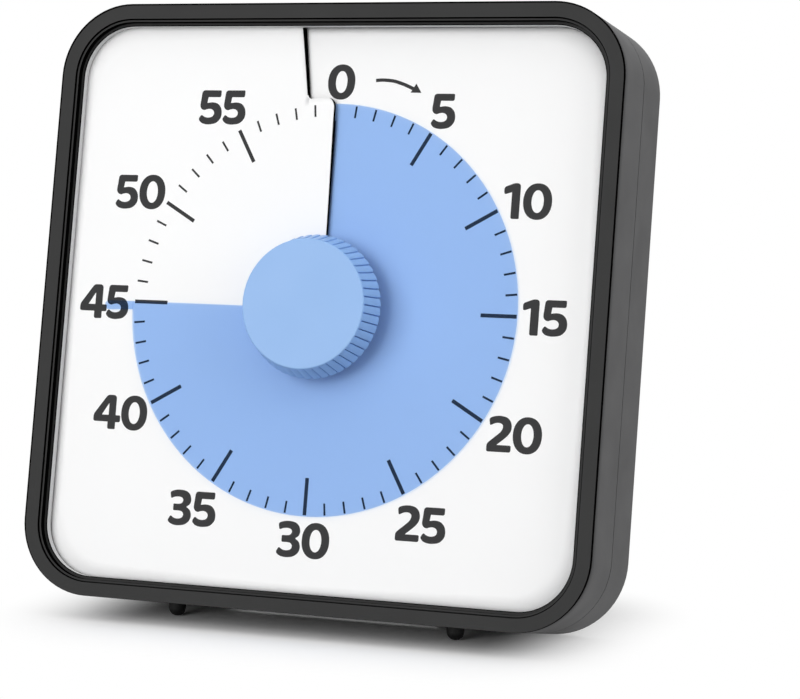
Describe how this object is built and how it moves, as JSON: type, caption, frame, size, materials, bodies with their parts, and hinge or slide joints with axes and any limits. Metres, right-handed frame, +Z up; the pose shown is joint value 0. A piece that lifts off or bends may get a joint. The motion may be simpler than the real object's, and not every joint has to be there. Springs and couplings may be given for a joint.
{
  "type": "visual countdown timer",
  "caption": "Leaning square desk timer: a film disc wound out over a white dial by the centre knob shows the minutes left.",
  "frame": {"origin": "bottom centre of the box round the whole timer, on the floor it stands on", "axes": "+Z up, +X to the viewer's right, +Y away from the viewer; the face leans back 11.5 degrees"},
  "size_m": [0.198, 0.0806, 0.2032],
  "materials": {
    "bezel_plastic": "smooth satin dark grey plastic",
    "shell_plastic": "fine-grained dark grey plastic",
    "ring_plastic": "satin black plastic",
    "dial_white": "white printed sheet",
    "chassis_grey": "moulded plastic",
    "film_blue": "translucent blue film",
    "knob_blue": "satin light blue plastic",
    "rubber_black": "black rubber",
    "steel": "bright steel",
    "brass": "plain brass",
    "gear_plastic": "natural moulded plastic",
    "movement_plastic": "moulded black plastic",
    "iron": "stamped iron",
    "copper_wire": "enamelled copper wire",
    "board_green": "circuit board lacquer",
    "cell_sleeve": "plain metal sleeve",
    "slider_grey": "light grey plastic"
  },
  "bodies": {
    "body": {"front_bezel": "bezel_plastic", "front_shell": "shell_plastic", "dial_ring": "ring_plastic", "dial_plate": "dial_white", "rear_cover": "shell_plastic", "foot_left": "rubber_black", "foot_right": "rubber_black", "chassis_plate": "chassis_grey", "movement_front": "movement_plastic", "movement_back": "movement_plastic", "movement_nut": "brass", "stator": "iron", "coil": "copper_wire", "circuit_board": "board_green", "buzzer": "movement_plastic", "battery_cell": "cell_sleeve", "contact_plus": "steel", "contact_minus": "steel", "cover_screws": "steel", "chassis_screws": "steel", "movement_screws": "steel", "case_screws": "steel", "stand_pin": "steel"},
    "knob": {"setting_knob": "knob_blue", "spindle": "steel", "clutch_spring": "brass", "centre_wheel": "gear_plastic"},
    "disc": {"time_disc": "film_blue", "disc_hub": "film_blue"},
    "third": {"third_wheel": "gear_plastic"},
    "fourth": {"fourth_wheel": "gear_plastic"},
    "magnet": {"rotor": "iron"},
    "stand": {"stand": "shell_plastic"},
    "door": {"battery_door": "shell_plastic"},
    "slider": {"volume_slider": "slider_grey"}
  },
  "joints": [
    {"name": "knob_turn", "type": "hinge", "parent": "body", "child": "knob", "pos_m": [0, -0.02061, 0.10527], "axis": [0, 0.9799, -0.1994], "range_deg": [-270, 90]},
    {"name": "disc_ride", "type": "slide", "parent": "knob", "child": "disc", "axis": [0, -0.9799, 0.1994], "range_m": [-0.00136, 0.00046]},
    {"name": "third_turn", "type": "hinge", "parent": "body", "child": "third", "pos_m": [0.014, -0.00101, 0.10128], "axis": [0, 0.9799, -0.1994], "range_deg": [-541, 1621]},
    {"name": "fourth_turn", "type": "hinge", "parent": "body", "child": "fourth", "pos_m": [0.014, 0.00138, 0.11304], "axis": [0, 0.9799, -0.1994], "range_deg": [-8101, 2701]},
    {"name": "rotor_turn", "type": "hinge", "parent": "body", "child": "magnet", "pos_m": [0.00614, 0.00248, 0.11843], "axis": [0, 0.9799, -0.1994], "range_deg": [-13501, 40501]},
    {"name": "stand_fold", "type": "hinge", "parent": "body", "child": "stand", "pos_m": [0, 0.01323, 0.07848], "axis": [1, 0, 0], "range_deg": [-27.5, 0]},
    {"name": "door_off", "type": "slide", "parent": "body", "child": "door", "axis": [0, 0.9799, -0.1994], "range_m": [0, 0.02]},
    {"name": "volume_slide", "type": "slide", "parent": "body", "child": "slider", "axis": [1, 0, 0], "range_m": [0, 0.007]}
  ],
  "couplings": [
    {"joint": "disc_ride", "follows": "knob_turn", "m_per_rad": 0.00028648},
    {"joint": "third_turn", "follows": "knob_turn", "ratio": -6},
    {"joint": "fourth_turn", "follows": "knob_turn", "ratio": 30},
    {"joint": "rotor_turn", "follows": "knob_turn", "ratio": -150}
  ]
}
